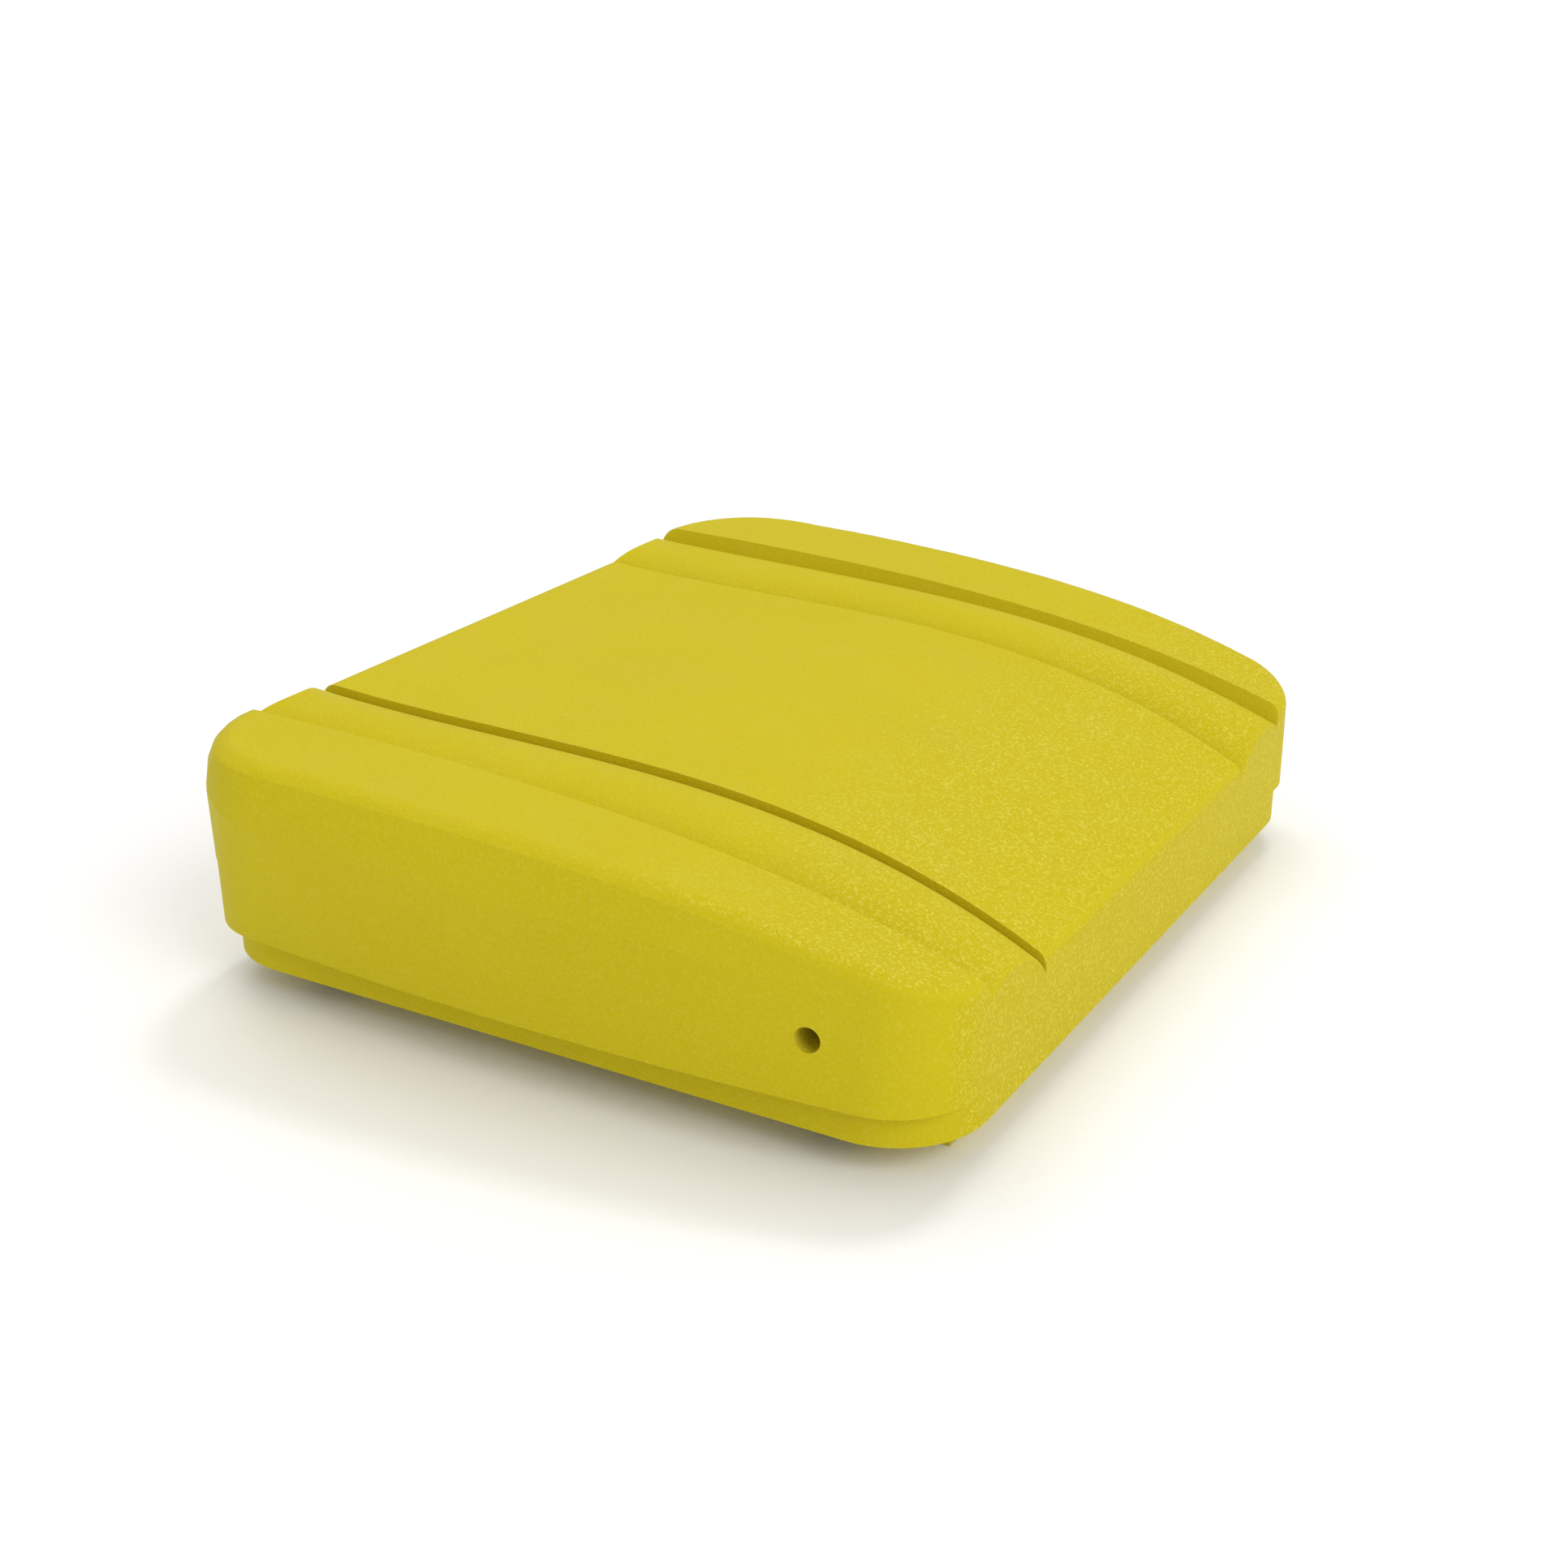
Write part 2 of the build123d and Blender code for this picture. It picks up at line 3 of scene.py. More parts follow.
import bmesh
import bpy
from bpy.props import FloatProperty, FloatVectorProperty, PointerProperty
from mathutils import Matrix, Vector


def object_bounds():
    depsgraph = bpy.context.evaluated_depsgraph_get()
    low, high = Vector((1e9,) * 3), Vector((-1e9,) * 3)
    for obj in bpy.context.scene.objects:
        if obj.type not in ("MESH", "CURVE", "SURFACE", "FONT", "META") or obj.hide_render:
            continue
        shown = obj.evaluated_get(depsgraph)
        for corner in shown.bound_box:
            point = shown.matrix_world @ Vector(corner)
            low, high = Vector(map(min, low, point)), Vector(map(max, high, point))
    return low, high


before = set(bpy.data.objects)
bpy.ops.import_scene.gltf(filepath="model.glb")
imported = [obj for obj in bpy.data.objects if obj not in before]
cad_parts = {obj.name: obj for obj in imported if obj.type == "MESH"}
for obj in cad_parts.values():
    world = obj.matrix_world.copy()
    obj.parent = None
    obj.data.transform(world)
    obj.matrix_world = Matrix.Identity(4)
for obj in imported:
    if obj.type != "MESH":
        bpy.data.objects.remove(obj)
cad_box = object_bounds()

bl_info = {
    "name": "Pedal boat seat",
    "version": (1, 0, 0),
    "blender": (4, 5, 0),
    "location": "3D View > Sidebar > Seat",
    "description": "Finishes and studio for a tip-forward moulded pedal boat seat",
    "category": "Object",
}

MM = 0.001
FLOOR_GAP = 0.2 * MM                    # keeps the floor from lying in the frame bars' undersides
FLOOR_LEVEL = cad_box[0].z - FLOOR_GAP
FLOOR_SHADE = 0.985                     # the floor's darker patches, as a share of its colour
SENSOR_WIDTH = 36.0                     # of the camera, in millimetres
FAR_CLIP = 200.0

# how strongly each effect shows on the moulded skin, from 0 to 1
SKIN_SHINE = 0.02
SKIN_CLOUDS = 0.18
GLINTS_ELSEWHERE = 0.30                  # painted glints and painted darkening on skin that doesn't face the front
# the next two paint front-facing skin darker and paint light glints on its grain tips
SKIN_FACING_DARKENING = 0.55
SKIN_PAINTED_GLINTS = 0.95
SKIN_WEAR = 0.45
SKIN_DUST = 0.02
ROUGHNESS_BELOW = 0.06                  # how much smoother the grain's pits are than the setting
ROUGHNESS_ABOVE = 0.08                  # how much rougher its tips are
DUST_ROUGHNESS = 0.5                    # what full dust adds to the roughness
FINE_GRAIN = 2.3                        # how much finer the second grain is than the first

PALE_DUST = (0.55, 0.52, 0.44, 1.0)
DARK_DUST = (0.30, 0.28, 0.24, 1.0)

# where each light stands, in degrees: heading round the seat, 0 at the front, and height above the floor
MAIN_LIGHT_AT = (-18, 38)
TOP_LIGHT_AT = (95, 62)
BACK_LIGHT_AT = (150, 64)
TOP_LIGHT_NARROWING = 3                 # how many times narrower the top light looks

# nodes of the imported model, by the finish that they share
SHELL = ["seat_shell"]
PANEL = ["base_panel"]
FRAME_BARS = [f"frame_bar_{side}" for side in ("front", "rear", "left", "right")]
FOAM = ["foam_core"]
SIDES = ("left", "right")
GUIDES = [f"pin_guide_{side}" for side in SIDES]
PINS = [f"hinge_pin_{side}" for side in SIDES]
KNOBS = [f"pin_knob_{side}" for side in SIDES]
RINGS = [f"pin_ring_{side}" for side in SIDES]
BUFFERS = [f"rest_buffer_{end}_{side}" for end in ("front", "rear") for side in SIDES]
INSERTS = ["base_inserts"]
SCREWS = ["base_screws", "guide_screws", "frame_screws"]
PLUG = ["vent_plug"]
WASHER = ["vent_washer"]


def colour(name, description, default):
    return FloatVectorProperty(name=name, description=description, subtype="COLOR", size=3,
                               min=0.0, max=1.0, default=default)


def length(name, description, default):
    return FloatProperty(name=name, description=description, unit="LENGTH", subtype="DISTANCE",
                         min=0.0, default=default)


def factor(name, description, default):
    return FloatProperty(name=name, description=description, subtype="FACTOR",
                         min=0.0, max=1.0, default=default)


class SeatMouldingSettings(bpy.types.PropertyGroup):
    """Yellow polyethylene of the seat, its base sheet and its frame bars."""

    yellow: colour("Yellow", "Colour of the moulded skin", (0.604, 0.502, 0.014))
    deep_yellow: colour("Deep yellow", "Colour where the skin is thicker, and of the painted darkening where it faces the front", (0.530, 0.433, 0.008))
    worn_yellow: colour("Worn yellow", "Colour of rubbed edges", (0.680, 0.600, 0.080))
    # painted highlight: colour of the light glints painted on the grain where the skin faces the front
    glint_yellow: colour("Painted glint yellow", "Colour of the painted glints on the grain's tips", (0.690, 0.580, 0.062))
    grain: length("Grain", "Size of one grain of the mould's texture", 1.8 * MM)
    grain_depth: length("Grain depth", "Height of the mould's texture", 0.55 * MM)
    gloss_roughness: factor("Roughness", "Roughness of the moulded skin", 0.42)
    cloud: length("Cloud", "Size of the slow changes of colour", 90 * MM)
    wear_width: length("Wear width", "How far wear reaches in from an edge", 1.2 * MM)


class SeatHardwareSettings(bpy.types.PropertyGroup):
    """Pins, guides, knobs, screws and the small rubber parts."""

    steel: colour("Steel", "Drawn stainless steel", (0.55, 0.56, 0.57))
    brass: colour("Brass", "Turned brass of the inserts", (0.62, 0.43, 0.16))
    acetal: colour("Acetal", "Machined black acetal of the guides", (0.022, 0.022, 0.024))
    nylon: colour("Nylon", "Moulded black nylon of knobs and plug", (0.028, 0.028, 0.030))
    rubber: colour("Rubber", "Black rubber of buffers, rings and washer", (0.020, 0.020, 0.021))
    foam: colour("Foam", "Closed-cell foam", (0.78, 0.74, 0.62))


class SeatStudioSettings(bpy.types.PropertyGroup):
    """Floor, soft light and camera."""

    floor_colour: colour("Floor", "Colour of the studio floor", (0.97, 0.97, 0.97))
    floor_width: length("Floor width", "Side of the square floor", 60.0)
    sky: FloatProperty(name="Sky", description="Strength of the even white surround",
                       min=0.0, default=0.63)
    main_strength: FloatProperty(name="Main light", description="Strength of the light in front",
                                 min=0.0, default=1.05)
    top_strength: FloatProperty(name="Top light", description="Strength of the high light on the left",
                                min=0.0, default=0.55)
    back_strength: FloatProperty(name="Back light", description="Strength of the high light at the rear left",
                                 min=0.0, default=0.45)
    softness: FloatProperty(name="Softness", description="How wide each light looks from the seat",
                            subtype="ANGLE", unit="ROTATION", min=0.0, default=math.radians(34))
    camera_place: FloatVectorProperty(name="Camera", description="Where the camera stands", subtype="XYZ",
                                      unit="LENGTH", size=3, default=(0.5324, -0.9303, 0.4996))
    camera_aim: FloatVectorProperty(name="Aim", description="The point the camera looks at", subtype="XYZ",
                                    unit="LENGTH", size=3, default=(-0.0104, 0.0116, 0.0584))
    lens: FloatProperty(name="Lens", description="Focal length", unit="CAMERA", min=10.0, default=50.0)


# ---- small helpers for shader trees ----

def add(tree, kind, **values):
    made = tree.nodes.new(kind)
    for name, value in values.items():
        setattr(made, name, value)
    return made


def feed(tree, target, **sources):
    """Link or set inputs by name, with spaces written as underscores."""
    for name, source in sources.items():
        socket = target.inputs[name.replace("_", " ")]
        if isinstance(source, bpy.types.NodeSocket):
            tree.links.new(source, socket)
        else:
            socket.default_value = source


def maths(tree, operation, first, second=0.0, clamp=False):
    made = add(tree, "ShaderNodeMath", operation=operation, use_clamp=clamp)
    for socket, source in zip(made.inputs, (first, second)):
        if isinstance(source, bpy.types.NodeSocket):
            tree.links.new(source, socket)
        else:
            socket.default_value = source
    return made.outputs["Value"]


def spread(tree, value, low, high, to_low=0.0, to_high=1.0):
    """Stretch the part of a value between low and high to a new range, clamped."""
    made = add(tree, "ShaderNodeMapRange", interpolation_type="SMOOTHSTEP")
    feed(tree, made, Value=value, From_Min=low, From_Max=high, To_Min=to_low, To_Max=to_high)
    return made.outputs["Result"]


def mixed(tree, mask, first, second):
    """Colour between two colours."""
    made = add(tree, "ShaderNodeMix", data_type="RGBA")
    for name, source in (("Factor", mask), ("A", first), ("B", second)):
        socket = next(s for s in made.inputs if s.enabled and s.name == name)
        if isinstance(source, bpy.types.NodeSocket):
            tree.links.new(source, socket)
        else:
            socket.default_value = source
    return next(s for s in made.outputs if s.enabled)


def noise(tree, place, scale, detail=3.0, rough=0.6):
    made = add(tree, "ShaderNodeTexNoise")
    feed(tree, made, Vector=place, Scale=scale, Detail=detail, Roughness=rough)
    return made.outputs["Fac"]


def opaque(rgb):
    return (*rgb, 1.0)


def new_group(name, inputs, outputs):
    """Empty shader group with typed sockets: (name, type, default)."""
    tree = bpy.data.node_groups.new(name, "ShaderNodeTree")
    for socket_name, kind, default in inputs:
        socket = tree.interface.new_socket(socket_name, in_out="INPUT", socket_type=f"NodeSocket{kind}")
        if default is not None:
            socket.default_value = default
    for socket_name, kind in outputs:
        tree.interface.new_socket(socket_name, in_out="OUTPUT", socket_type=f"NodeSocket{kind}")
    start = add(tree, "NodeGroupInput")
    end = add(tree, "NodeGroupOutput")
    return tree, start.outputs, end


def use(tree, group_name, **sources):
    """Place a shared group in a material and return its outputs."""
    made = add(tree, "ShaderNodeGroup")
    made.node_tree = bpy.data.node_groups[group_name]
    feed(tree, made, **sources)
    return made.outputs


# ---- effects that several finishes share ----

def build_moulded_grain():
    """Fine two-size texture of a blasted mould."""
    inputs = [("Vector", "Vector", None), ("Size", "Float", MM), ("Coarse", "Float", 0.6)]
    tree, given, end = new_group("Moulded grain", inputs, [("Height", "Float"), ("Speckle", "Float")])
    scale = maths(tree, "DIVIDE", 1.0, given["Size"])
    coarse = noise(tree, given["Vector"], scale)
    fine = noise(tree, given["Vector"], maths(tree, "MULTIPLY", scale, FINE_GRAIN), detail=2.0)
    part = maths(tree, "MULTIPLY", coarse, given["Coarse"])
    rest = maths(tree, "MULTIPLY", fine, maths(tree, "SUBTRACT", 1.0, given["Coarse"]))
    height = maths(tree, "ADD", part, rest)
    feed(tree, end, Height=height, Speckle=spread(tree, height, low=0.50, high=0.60))


def build_colour_drift():
    """Slow cloudy change between two colours."""
    inputs = [("Vector", "Vector", None), ("Base", "Color", None), ("Shade", "Color", None),
              ("Size", "Float", 0.1), ("Amount", "Float", 0.5)]
    tree, given, end = new_group("Colour drift", inputs, [("Color", "Color")])
    cloud = noise(tree, given["Vector"], maths(tree, "DIVIDE", 1.0, given["Size"]), detail=4.0)
    mask = maths(tree, "MULTIPLY", spread(tree, cloud, low=0.35, high=0.65), given["Amount"])
    feed(tree, end, Color=mixed(tree, mask, given["Base"], given["Shade"]))


def build_edge_wear():
    """Mask along sharp edges, broken up by a noise."""
    inputs = [("Vector", "Vector", None), ("Width", "Float", MM), ("Break", "Float", 4 * MM)]
    tree, given, end = new_group("Edge wear", inputs, [("Mask", "Float")])
    rounded = add(tree, "ShaderNodeBevel", samples=4)
    feed(tree, rounded, Radius=given["Width"])
    flat = add(tree, "ShaderNodeNewGeometry")
    facing = add(tree, "ShaderNodeVectorMath", operation="DOT_PRODUCT")
    tree.links.new(rounded.outputs["Normal"], facing.inputs[0])
    tree.links.new(flat.outputs["Normal"], facing.inputs[1])
    edge = spread(tree, facing.outputs["Value"], low=0.995, high=0.85)
    cloud = noise(tree, given["Vector"], maths(tree, "DIVIDE", 1.0, given["Break"]), detail=5.0)
    patches = spread(tree, cloud, low=0.42, high=0.62)
    feed(tree, end, Mask=maths(tree, "MULTIPLY", edge, patches))


def build_painted_glint_mask():
    """Mask for painted glints and painted darkening, by which way the skin faces: most where it faces the
    front.
    """
    inputs = [("Least", "Float", 0.3)]
    tree, given, end = new_group("Painted glint mask", inputs, [("Amount", "Float")])
    shape = add(tree, "ShaderNodeNewGeometry")
    parts = add(tree, "ShaderNodeSeparateXYZ")
    tree.links.new(shape.outputs["Normal"], parts.inputs["Vector"])
    # the top counts from a slight turn to the front on, a wall only where it faces squarely to the front
    sloping = spread(tree, parts.outputs["X"], low=0.04, high=0.26)
    looking_up = spread(tree, parts.outputs["Z"], low=0.55, high=0.85)
    upright = spread(tree, parts.outputs["X"], low=0.80, high=0.97)
    frontal = maths(tree, "MAXIMUM", maths(tree, "MULTIPLY", sloping, looking_up), upright)
    feed(tree, end, Amount=maths(tree, "MAXIMUM", frontal, given["Least"]))


def build_settled_dust():
    """Mask of fine dust on faces that look up."""
    inputs = [("Vector", "Vector", None), ("Size", "Float", 0.05), ("Level", "Float", 0.2)]
    tree, given, end = new_group("Settled dust", inputs, [("Mask", "Float")])
    shape = add(tree, "ShaderNodeNewGeometry")
    parts = add(tree, "ShaderNodeSeparateXYZ")
    tree.links.new(shape.outputs["Normal"], parts.inputs["Vector"])
    up = spread(tree, parts.outputs["Z"], low=0.55, high=1.0)
    cloud = noise(tree, given["Vector"], maths(tree, "DIVIDE", 1.0, given["Size"]), detail=6.0, rough=0.7)
    settled = maths(tree, "MULTIPLY", up, spread(tree, cloud, low=0.40, high=0.75))
    feed(tree, end, Mask=maths(tree, "MULTIPLY", settled, given["Level"]))


def build_drawn_lines():
    """Height of fine lines left by drawing, sawing or turning."""
    inputs = [("Vector", "Vector", None), ("Along", "Vector", None), ("Size", "Float", MM)]
    tree, given, end = new_group("Drawn lines", inputs, [("Height", "Float")])
    squeezed = add(tree, "ShaderNodeVectorMath", operation="MULTIPLY")
    tree.links.new(given["Vector"], squeezed.inputs[0])
    tree.links.new(given["Along"], squeezed.inputs[1])
    scale = maths(tree, "DIVIDE", 1.0, given["Size"])
    feed(tree, end, Height=noise(tree, squeezed.outputs["Vector"], scale, detail=4.0, rough=0.7))


def build_shared_effects():
    build_moulded_grain()
    build_colour_drift()
    build_edge_wear()
    build_painted_glint_mask()
    build_settled_dust()
    build_drawn_lines()


# ---- finishes ----

def new_finish(name):
    """Material with its Principled shader and the object's own coordinates."""
    material = bpy.data.materials.new(name)
    material.use_nodes = True
    tree = material.node_tree
    tree.nodes.clear()
    shader = add(tree, "ShaderNodeBsdfPrincipled")
    out = add(tree, "ShaderNodeOutputMaterial")
    tree.links.new(shader.outputs["BSDF"], out.inputs["Surface"])
    place = add(tree, "ShaderNodeTexCoord").outputs["Object"]
    return material, tree, shader, place


def bumped(tree, height, distance, strength=1.0):
    made = add(tree, "ShaderNodeBump")
    feed(tree, made, Height=height, Distance=distance, Strength=strength)
    return made.outputs["Normal"]


def paint(names, material):
    """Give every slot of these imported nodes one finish."""
    for name in names:
        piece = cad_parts[name]
        if not piece.material_slots:
            piece.data.materials.append(material)
        for slot in piece.material_slots:
            slot.material = material


def moulded_skin(name, settings):
    """Yellow polyethylene with the mould's grain, faint clouds, rubbed edges, a little dust, and painted
    glints on a painted darker ground where the skin faces the front.
    """
    material, tree, shader, place = new_finish(name)
    deep = opaque(settings.deep_yellow)
    drift = use(tree, "Colour drift", Vector=place, Base=opaque(settings.yellow), Shade=deep,
                Size=settings.cloud, Amount=SKIN_CLOUDS)
    grain = use(tree, "Moulded grain", Vector=place, Size=settings.grain, Coarse=0.6)
    wear = use(tree, "Edge wear", Vector=place, Width=settings.wear_width, Break=6 * MM)
    dust = use(tree, "Settled dust", Vector=place, Size=40 * MM, Level=SKIN_DUST)
    # painted glints and painted darkening, placed by which way the skin faces, where the lights catch it
    glint_mask = use(tree, "Painted glint mask", Least=GLINTS_ELSEWHERE)

    # painted shade: front-facing skin mixed towards the deeper yellow; painted highlight: light glints on the
    # grain's high spots
    facing_darkening = maths(tree, "MULTIPLY", glint_mask["Amount"], SKIN_FACING_DARKENING)
    painted_glints = maths(tree, "MULTIPLY", maths(tree, "MULTIPLY", grain["Speckle"], glint_mask["Amount"]), SKIN_PAINTED_GLINTS)
    edges = maths(tree, "MULTIPLY", wear["Mask"], SKIN_WEAR)
    darkened_front = mixed(tree, facing_darkening, drift["Color"], deep)
    glinted = mixed(tree, painted_glints, darkened_front, opaque(settings.glint_yellow))
    rubbed = mixed(tree, edges, glinted, opaque(settings.worn_yellow))
    dusty = mixed(tree, dust["Mask"], rubbed, PALE_DUST)

    grained = spread(tree, grain["Height"], low=0.35, high=0.65,
                     to_low=settings.gloss_roughness - ROUGHNESS_BELOW,
                     to_high=settings.gloss_roughness + ROUGHNESS_ABOVE)
    dulled = maths(tree, "MULTIPLY", dust["Mask"], DUST_ROUGHNESS)
    feed(tree, shader, Base_Color=dusty, Roughness=maths(tree, "ADD", grained, dulled, clamp=True),
         Normal=bumped(tree, grain["Height"], settings.grain_depth))
    shader.inputs["Specular IOR Level"].default_value = SKIN_SHINE
    return material


def sawn_sheet(name, settings, along):
    """Yellow sheet and bar with faint saw lines."""
    material, tree, shader, place = new_finish(name)
    drift = use(tree, "Colour drift", Vector=place, Base=opaque(settings.yellow),
                Shade=opaque(settings.deep_yellow), Size=60 * MM, Amount=0.6)
    lines = use(tree, "Drawn lines", Vector=place, Along=along, Size=1.5 * MM)
    wear = use(tree, "Edge wear", Vector=place, Width=0.8 * MM, Break=5 * MM)
    scuffs = spread(tree, lines["Height"], low=0.55, high=0.75, to_high=0.25)
    scuffed = mixed(tree, scuffs, drift["Color"], opaque(settings.deep_yellow))
    worn = mixed(tree, maths(tree, "MULTIPLY", wear["Mask"], 0.6), scuffed, opaque(settings.worn_yellow))
    rough = spread(tree, lines["Height"], low=0.3, high=0.7, to_low=0.45, to_high=0.62)
    feed(tree, shader, Base_Color=worn, Roughness=rough, Normal=bumped(tree, lines["Height"], 0.08 * MM))
    return material


def dark_moulding(name, rgb, grain_size, rough_low, rough_high, wear_rgb):
    """Black nylon, acetal or rubber: grain, rubbed edges and dust."""
    material, tree, shader, place = new_finish(name)
    lighter = [min(1.0, c * 1.7) for c in rgb]
    drift = use(tree, "Colour drift", Vector=place, Base=opaque(rgb), Shade=opaque(lighter),
                Size=15 * MM, Amount=0.6)
    grain = use(tree, "Moulded grain", Vector=place, Size=grain_size, Coarse=0.5)
    wear = use(tree, "Edge wear", Vector=place, Width=0.6 * MM, Break=2 * MM)
    dust = use(tree, "Settled dust", Vector=place, Size=8 * MM, Level=0.25)
    worn = mixed(tree, maths(tree, "MULTIPLY", wear["Mask"], 0.5), drift["Color"], opaque(wear_rgb))
    dusty = mixed(tree, dust["Mask"], worn, DARK_DUST)
    rough = spread(tree, grain["Height"], low=0.35, high=0.65, to_low=rough_low, to_high=rough_high)
    feed(tree, shader, Base_Color=dusty, Roughness=rough,
         Normal=bumped(tree, grain["Height"], 0.06 * MM))
    return material


def worked_metal(name, rgb, along, rough_low, rough_high):
    """Drawn or turned metal: fine lines, dull patches and bright edges."""
    material, tree, shader, place = new_finish(name)
    dull = [c * 0.72 for c in rgb]
    drift = use(tree, "Colour drift", Vector=place, Base=opaque(rgb), Shade=opaque(dull),
                Size=9 * MM, Amount=0.7)
    lines = use(tree, "Drawn lines", Vector=place, Along=along, Size=0.35 * MM)
    wear = use(tree, "Edge wear", Vector=place, Width=0.4 * MM, Break=2 * MM)
    bright = [min(1.0, c * 1.3) for c in rgb]
    polished = mixed(tree, maths(tree, "MULTIPLY", wear["Mask"], 0.7), drift["Color"], opaque(bright))
    rough = spread(tree, lines["Height"], low=0.3, high=0.7, to_low=rough_low, to_high=rough_high)
    feed(tree, shader, Base_Color=polished, Roughness=rough,
         Normal=bumped(tree, lines["Height"], 0.02 * MM))
    shader.inputs["Metallic"].default_value = 1.0
    return material


def cellular_foam(name, rgb):
    """Closed-cell foam: packed beads with darker seams between them."""
    material, tree, shader, place = new_finish(name)
    cells = add(tree, "ShaderNodeTexVoronoi", feature="DISTANCE_TO_EDGE")
    feed(tree, cells, Vector=place, Scale=1 / (3.5 * MM))
    seam = spread(tree, cells.outputs["Distance"], low=0.0, high=0.22)
    drift = use(tree, "Colour drift", Vector=place, Base=opaque(rgb), Shade=opaque([c * 0.85 for c in rgb]),
                Size=30 * MM, Amount=0.6)
    tone = mixed(tree, seam, opaque([c * 0.6 for c in rgb]), drift["Color"])
    rough = spread(tree, seam, low=0.0, high=1.0, to_low=0.95, to_high=0.75)
    feed(tree, shader, Base_Color=tone, Roughness=rough, Normal=bumped(tree, seam, 0.25 * MM))
    return material


# ---- operators ----

class PEDALSEAT_OT_finish_shell(bpy.types.Operator):
    """Finish the one-piece yellow moulding"""

    bl_idname = "pedalseat.finish_shell"
    bl_label = "Finish shell"

    def execute(self, context):
        paint(SHELL, moulded_skin("moulded_yellow", context.scene.seat_moulding))
        return {"FINISHED"}


class PEDALSEAT_OT_finish_base(bpy.types.Operator):
    """Finish the base panel and the four bars of the locating frame"""

    bl_idname = "pedalseat.finish_base"
    bl_label = "Finish base and frame"

    def execute(self, context):
        settings = context.scene.seat_moulding
        paint(PANEL, sawn_sheet("sheet_yellow", settings, (1.0, 0.06, 1.0)))
        across = sawn_sheet("bar_yellow_across", settings, (1.0, 0.05, 1.0))
        along = sawn_sheet("bar_yellow_along", settings, (0.05, 1.0, 1.0))
        paint(FRAME_BARS[:2], across)
        paint(FRAME_BARS[2:], along)
        return {"FINISHED"}


class PEDALSEAT_OT_finish_foam(bpy.types.Operator):
    """Finish the foam core inside the moulding"""

    bl_idname = "pedalseat.finish_foam"
    bl_label = "Finish foam core"

    def execute(self, context):
        paint(FOAM, cellular_foam("foam_cells", context.scene.seat_hardware.foam))
        return {"FINISHED"}


class PEDALSEAT_OT_finish_pins(bpy.types.Operator):
    """Finish the hinge pins, their guides, knobs and rings"""

    bl_idname = "pedalseat.finish_pins"
    bl_label = "Finish hinge pins"

    def execute(self, context):
        kit = context.scene.seat_hardware
        paint(PINS, worked_metal("drawn_steel", kit.steel, (1.0, 0.04, 1.0), 0.22, 0.38))
        paint(GUIDES, dark_moulding("machined_acetal", kit.acetal, 0.5 * MM, 0.32, 0.46, (0.09, 0.09, 0.09)))
        paint(KNOBS, dark_moulding("knob_nylon", kit.nylon, 0.7 * MM, 0.40, 0.55, (0.12, 0.12, 0.12)))
        paint(RINGS, dark_moulding("ring_rubber", kit.rubber, 0.4 * MM, 0.55, 0.75, (0.05, 0.05, 0.05)))
        return {"FINISHED"}


class PEDALSEAT_OT_finish_fixings(bpy.types.Operator):
    """Finish the screws and the threaded inserts"""

    bl_idname = "pedalseat.finish_fixings"
    bl_label = "Finish fixings"

    def execute(self, context):
        kit = context.scene.seat_hardware
        paint(SCREWS, worked_metal("turned_steel", kit.steel, (1.0, 1.0, 0.2), 0.26, 0.42))
        paint(INSERTS, worked_metal("turned_brass", kit.brass, (1.0, 1.0, 0.3), 0.28, 0.45))
        return {"FINISHED"}


class PEDALSEAT_OT_finish_rubber(bpy.types.Operator):
    """Finish the rest buffers, the vent plug and its washer"""

    bl_idname = "pedalseat.finish_rubber"
    bl_label = "Finish buffers and plug"

    def execute(self, context):
        kit = context.scene.seat_hardware
        paint(BUFFERS, dark_moulding("buffer_rubber", kit.rubber, 0.8 * MM, 0.60, 0.80, (0.06, 0.06, 0.06)))
        paint(WASHER, dark_moulding("washer_rubber", kit.rubber, 0.4 * MM, 0.60, 0.80, (0.05, 0.05, 0.05)))
        paint(PLUG, dark_moulding("plug_nylon", kit.nylon, 0.6 * MM, 0.38, 0.52, (0.11, 0.11, 0.11)))
        return {"FINISHED"}


def studio_floor(settings):
    """Large pale floor under the seat, with a faint unevenness."""
    mesh = bpy.data.meshes.new("studio_floor")
    build = bmesh.new()
    bmesh.ops.create_grid(build, x_segments=2, y_segments=2, size=settings.floor_width / 2)
    build.to_mesh(mesh)
    build.free()
    floor = bpy.data.objects.new("studio_floor", mesh)
    floor.location.z = FLOOR_LEVEL
    bpy.context.scene.collection.objects.link(floor)
    material, tree, shader, place = new_finish("studio_floor")
    darker = [c * FLOOR_SHADE for c in settings.floor_colour]
    drift = use(tree, "Colour drift", Vector=place, Base=opaque(settings.floor_colour),
                Shade=opaque(darker), Size=1.5, Amount=0.5)
    feed(tree, shader, Base_Color=drift["Color"], Roughness=0.85)
    mesh.materials.append(material)


def soft_light(name, strength, width, place):
    """Wide, even light from a heading and a height, in degrees."""
    light = bpy.data.lights.new(name, "SUN")
    light.energy = strength
    light.angle = width
    lamp = bpy.data.objects.new(name, light)
    heading, height = (math.radians(angle) for angle in place)
    level = math.cos(height)
    away = Vector((level * math.cos(heading), level * math.sin(heading), math.sin(height)))
    lamp.location = away
    lamp.rotation_euler = away.to_track_quat("Z", "Y").to_euler()
    bpy.context.scene.collection.objects.link(lamp)


def even_sky(strength):
    world = bpy.data.worlds.new("studio_surround")
    world.use_nodes = True
    surround = world.node_tree.nodes["Background"]
    surround.inputs["Color"].default_value = (1.0, 1.0, 1.0, 1.0)
    surround.inputs["Strength"].default_value = strength
    bpy.context.scene.world = world


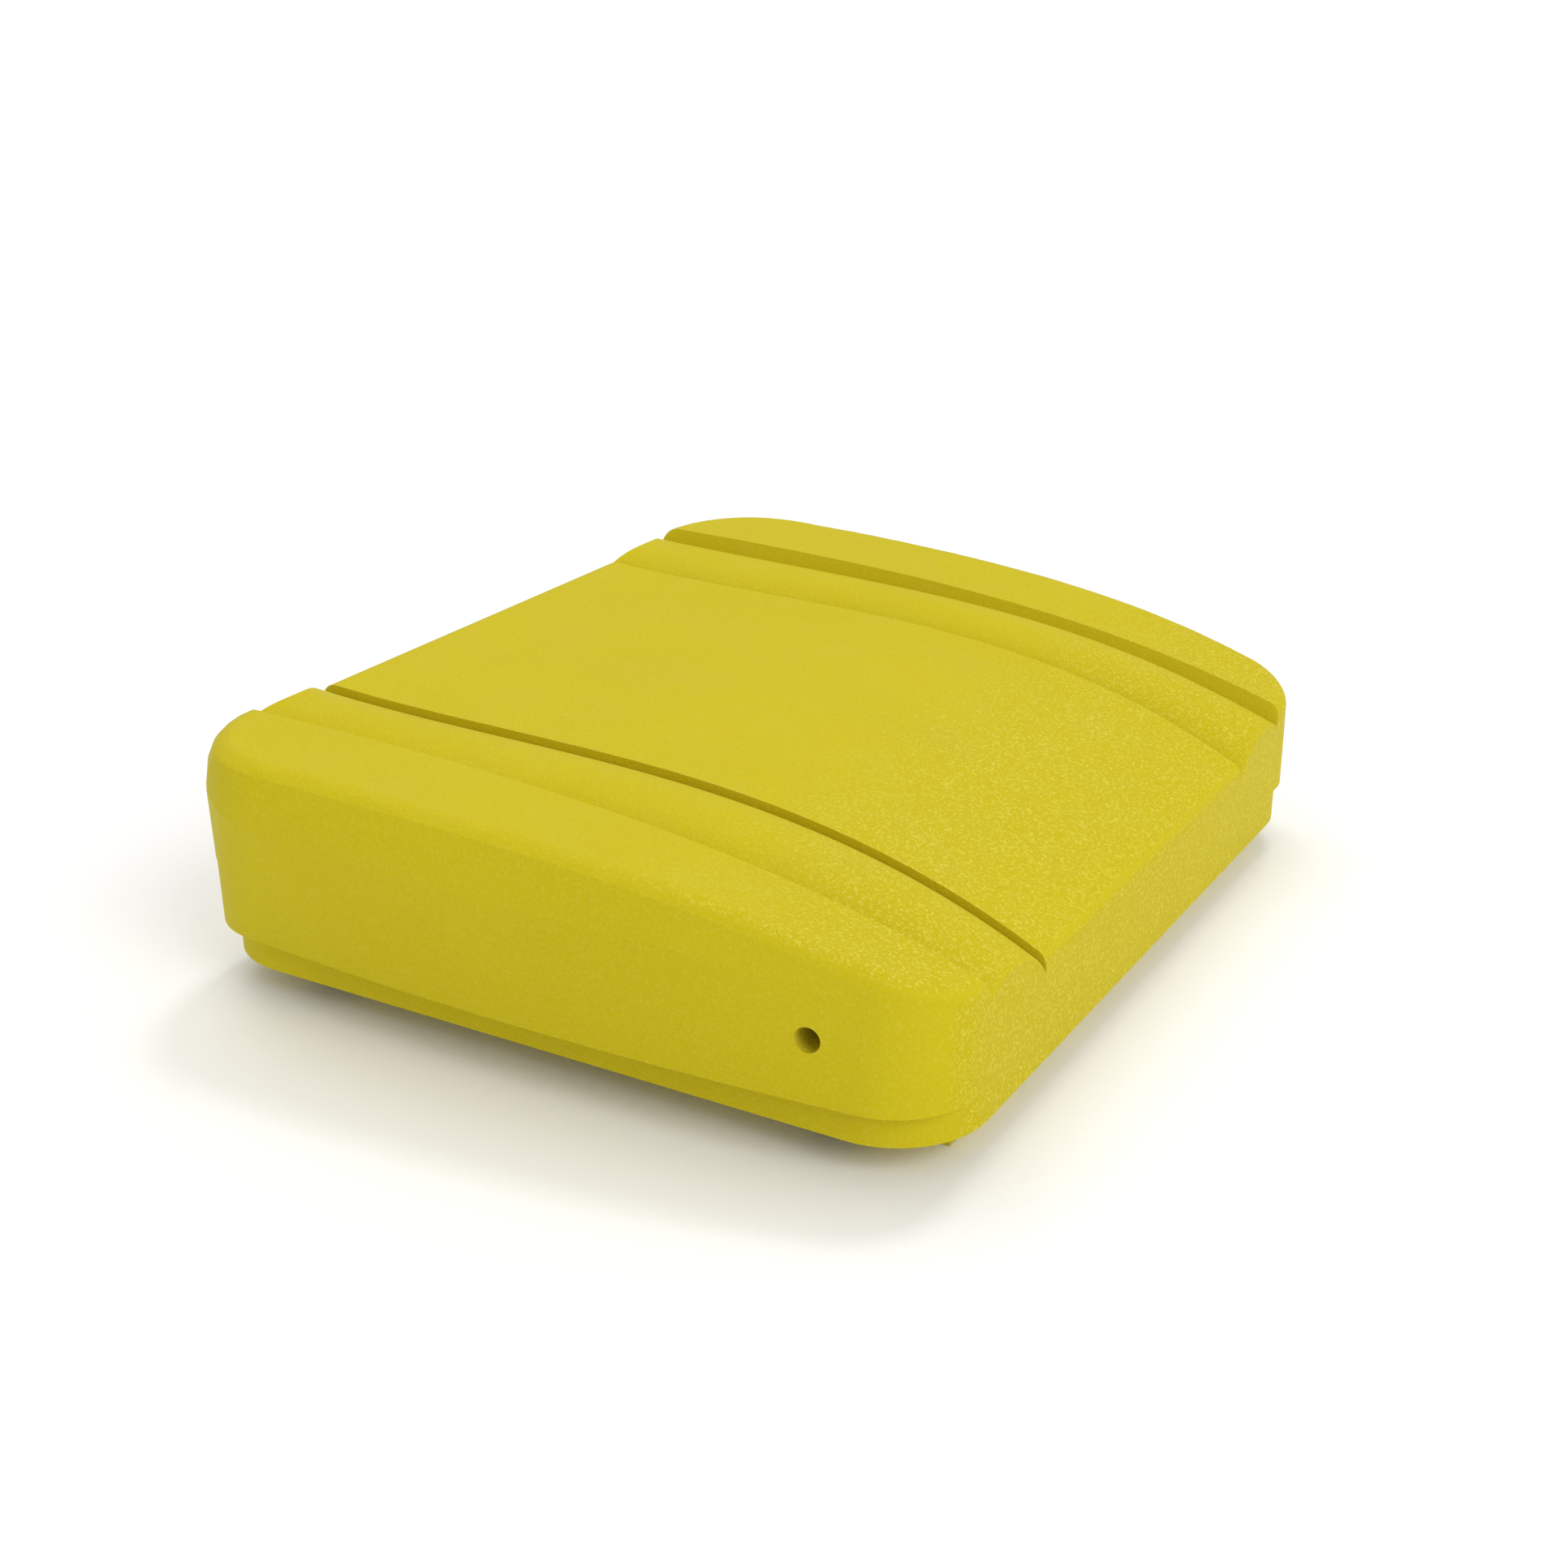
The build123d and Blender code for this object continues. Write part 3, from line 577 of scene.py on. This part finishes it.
def place_camera(settings):
    data = bpy.data.cameras.new("seat_camera")
    data.lens = settings.lens
    data.sensor_width = SENSOR_WIDTH
    data.clip_end = FAR_CLIP
    camera = bpy.data.objects.new("seat_camera", data)
    place = Vector(settings.camera_place)
    camera.location = place
    camera.rotation_euler = (Vector(settings.camera_aim) - place).to_track_quat("-Z", "Y").to_euler()
    bpy.context.scene.collection.objects.link(camera)
    bpy.context.scene.camera = camera


class PEDALSEAT_OT_build_studio(bpy.types.Operator):
    """Set up the floor, the soft lights and the camera"""

    bl_idname = "pedalseat.build_studio"
    bl_label = "Build studio"

    def execute(self, context):
        settings = context.scene.seat_studio
        studio_floor(settings)
        even_sky(settings.sky)
        soft_light("main_light", settings.main_strength, settings.softness, MAIN_LIGHT_AT)
        soft_light("top_light", settings.top_strength, settings.softness / TOP_LIGHT_NARROWING, TOP_LIGHT_AT)
        soft_light("back_light", settings.back_strength, settings.softness, BACK_LIGHT_AT)
        place_camera(settings)
        context.scene.view_settings.view_transform = "Standard"
        return {"FINISHED"}


class PEDALSEAT_PT_sidebar(bpy.types.Panel):
    """Lists the steps that finish the seat"""

    bl_idname = "PEDALSEAT_PT_sidebar"
    bl_label = "Pedal boat seat"
    bl_space_type = "VIEW_3D"
    bl_region_type = "UI"
    bl_category = "Seat"

    def draw(self, context):
        scene = context.scene
        for settings in (scene.seat_moulding, scene.seat_hardware, scene.seat_studio):
            column = self.layout.column(align=True)
            for name in settings.__annotations__:
                column.prop(settings, name)
        for operator in OPERATORS:
            self.layout.operator(operator.bl_idname)


SETTINGS = {
    "seat_moulding": SeatMouldingSettings,
    "seat_hardware": SeatHardwareSettings,
    "seat_studio": SeatStudioSettings,
}
OPERATORS = (
    PEDALSEAT_OT_finish_shell,
    PEDALSEAT_OT_finish_base,
    PEDALSEAT_OT_finish_foam,
    PEDALSEAT_OT_finish_pins,
    PEDALSEAT_OT_finish_fixings,
    PEDALSEAT_OT_finish_rubber,
    PEDALSEAT_OT_build_studio,
)


def register():
    for kind in (*SETTINGS.values(), *OPERATORS, PEDALSEAT_PT_sidebar):
        bpy.utils.register_class(kind)
    for name, kind in SETTINGS.items():
        setattr(bpy.types.Scene, name, PointerProperty(type=kind))


def unregister():
    for name in SETTINGS:
        delattr(bpy.types.Scene, name)
    for kind in reversed((*SETTINGS.values(), *OPERATORS, PEDALSEAT_PT_sidebar)):
        bpy.utils.unregister_class(kind)


def main():
    register()
    build_shared_effects()
    bpy.ops.pedalseat.finish_shell()
    bpy.ops.pedalseat.finish_base()
    bpy.ops.pedalseat.finish_foam()
    bpy.ops.pedalseat.finish_pins()
    bpy.ops.pedalseat.finish_fixings()
    bpy.ops.pedalseat.finish_rubber()
    bpy.ops.pedalseat.build_studio()


if __name__ == "__main__":
    main()
